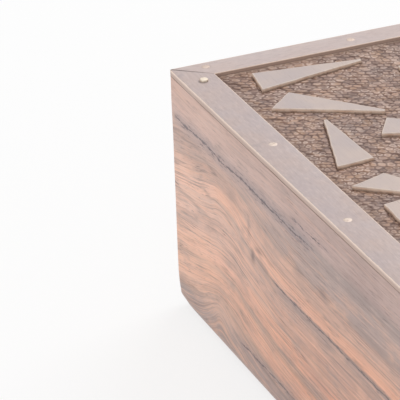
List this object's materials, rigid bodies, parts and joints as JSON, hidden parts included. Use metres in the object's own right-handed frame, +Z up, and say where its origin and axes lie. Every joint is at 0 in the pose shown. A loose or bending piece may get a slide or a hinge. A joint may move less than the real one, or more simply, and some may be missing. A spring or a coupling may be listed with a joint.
{
  "type": "wooden puzzle box",
  "caption": "Rosewood case with a carved sliding lid, opened by pressing a hidden pin among the strip nails while a tilt bolt lies back.",
  "frame": {"origin": "centre of the underside, on the surface that the box stands on", "axes": "+X to the end the lid slides out by, the front with the release pin faces -Y, +Z up"},
  "size_m": [0.282, 0.178, 0.0829],
  "materials": {
    "case_rosewood": "oiled rosewood, worn satin",
    "strip_wood": "waxed dense wood, greyed, edges worn pale",
    "lid_wood": "tooled ground with smooth raised wedges",
    "base_wood": "planed, unfinished underneath",
    "dowel_wood": "plain turned hardwood",
    "pin_brass": "filed flush and worn dull",
    "screw_brass": "turned, satin",
    "bolt_brass": "turned, polished by sliding",
    "spring_brass": "hard rolled sheet, satin"
  },
  "bodies": {
    "case": {"front_wall": "case_rosewood", "back_wall": "case_rosewood", "left_wall": "case_rosewood", "right_wall": "case_rosewood", "base_board": "base_wood", "base_pins": "pin_brass", "front_left_dowels": "dowel_wood", "front_right_dowels": "dowel_wood", "back_left_dowels": "dowel_wood", "back_right_dowels": "dowel_wood", "front_strip": "strip_wood", "back_strip": "strip_wood", "left_strip": "strip_wood", "front_strip_pins": "pin_brass", "back_strip_pins": "pin_brass", "left_strip_pins": "pin_brass", "catch_spring": "spring_brass", "catch_screws": "screw_brass"},
    "lid": {"carved_lid": "lid_wood", "right_strip": "strip_wood", "right_strip_pins": "pin_brass", "lid_batten": "case_rosewood", "batten_screws": "screw_brass", "bolt_ring": "screw_brass"},
    "button": {"release_pin": "pin_brass"},
    "bolt": {"tilt_bolt": "bolt_brass"}
  },
  "joints": [
    {"name": "lid_slide", "type": "slide", "parent": "case", "child": "lid", "axis": [1, 0, 0], "range_m": [0, 0.2385], "deforming": ["catch_spring"]},
    {"name": "release_press", "type": "slide", "parent": "case", "child": "button", "axis": [0, 0, 1], "range_m": [-0.0009, 0], "stiffness_N_per_m": 800, "springref_m": 0.001, "deforming": ["catch_spring"]},
    {"name": "bolt_drop", "type": "slide", "parent": "lid", "child": "bolt", "axis": [-1, 0, 0], "range_m": [0, 0.0082]}
  ]
}
